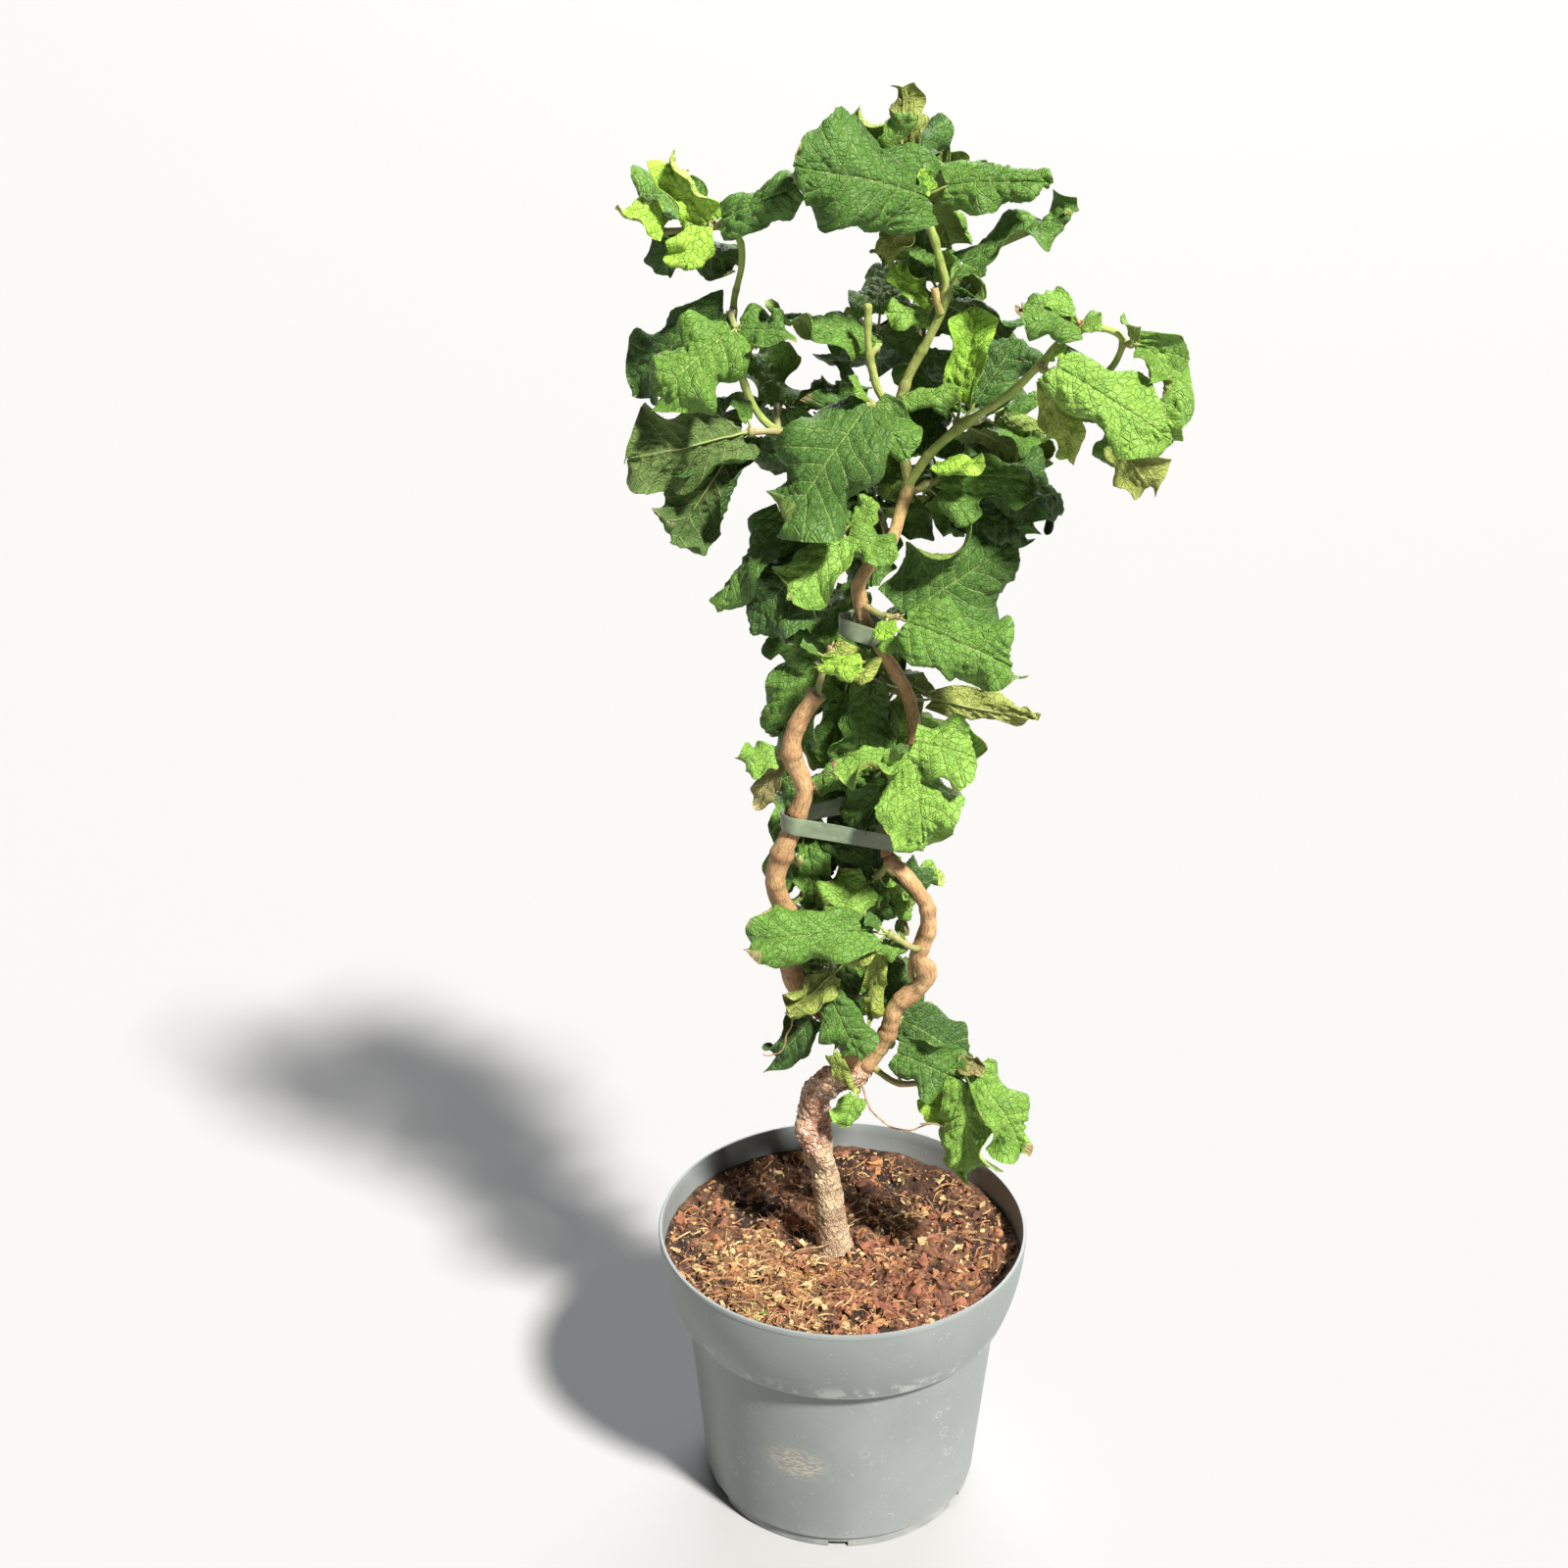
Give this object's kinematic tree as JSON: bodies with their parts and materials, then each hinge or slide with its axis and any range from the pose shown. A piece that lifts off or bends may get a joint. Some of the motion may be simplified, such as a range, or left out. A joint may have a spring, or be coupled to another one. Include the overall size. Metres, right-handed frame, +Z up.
{
  "type": "potted corkscrew hazel",
  "caption": "Small contorted hazel in a banded round nursery pot: gnarled forked trunk, twisted tied stems, arching shoots and crumpled leaves.",
  "frame": {"origin": "middle of the pot's flat underside", "axes": "+Z up along the pot's axis, -Y towards the side pictured, +X to that view's right"},
  "size_m": [0.3345, 0.2666, 0.9787],
  "materials": {
    "pot_plastic": "satin grey plastic with scuffs and dust",
    "compost": "rough bark compost with fibres",
    "old_bark": "gnarled grey-brown bark",
    "tan_bark": "smooth tan bark with pores",
    "green_bark": "young green shoot bark",
    "strap": "flat grey-green tie tape",
    "foliage": "crinkled matt leaves, lighter below"
  },
  "bodies": {
    "root": {"arch_curl": "foliage", "arch_end": "foliage", "arch_inner": "foliage", "arch_left": "green_bark", "arch_mid": "foliage", "arch_right": "green_bark", "arch_tip": "green_bark", "arch_top": "foliage", "back_crown": "foliage", "back_foot": "foliage", "back_high": "foliage", "back_left": "foliage", "back_low": "foliage", "back_lower": "foliage", "back_mid": "foliage", "back_right": "foliage", "back_waist": "foliage", "base_back": "foliage", "base_left": "foliage", "base_right": "foliage", "base_under": "foliage", "centre_front": "foliage", "column_mid": "foliage", "column_upper": "foliage", "crown_side": "foliage", "crown_top": "foliage", "cut_stub": "tan_bark", "fork_left": "foliage", "inner_right": "foliage", "leader": "tan_bark", "leader_top": "green_bark", "left_knot": "foliage", "left_low": "foliage", "left_mid": "foliage", "left_shoulder": "foliage", "left_tip": "foliage", "low_front": "foliage", "low_left": "foliage", "low_right": "foliage", "pot": "pot_plastic", "ribbon": "foliage", "right_low": "foliage", "right_mid": "foliage", "shoot": "foliage", "side_twig": "tan_bark", "soil": "compost", "spur": "green_bark", "stem_left": "tan_bark", "stem_mid": "tan_bark", "stem_right": "tan_bark", "tie_lower": "strap", "tie_upper": "strap", "trunk": "old_bark"}
  },
  "joints": []
}
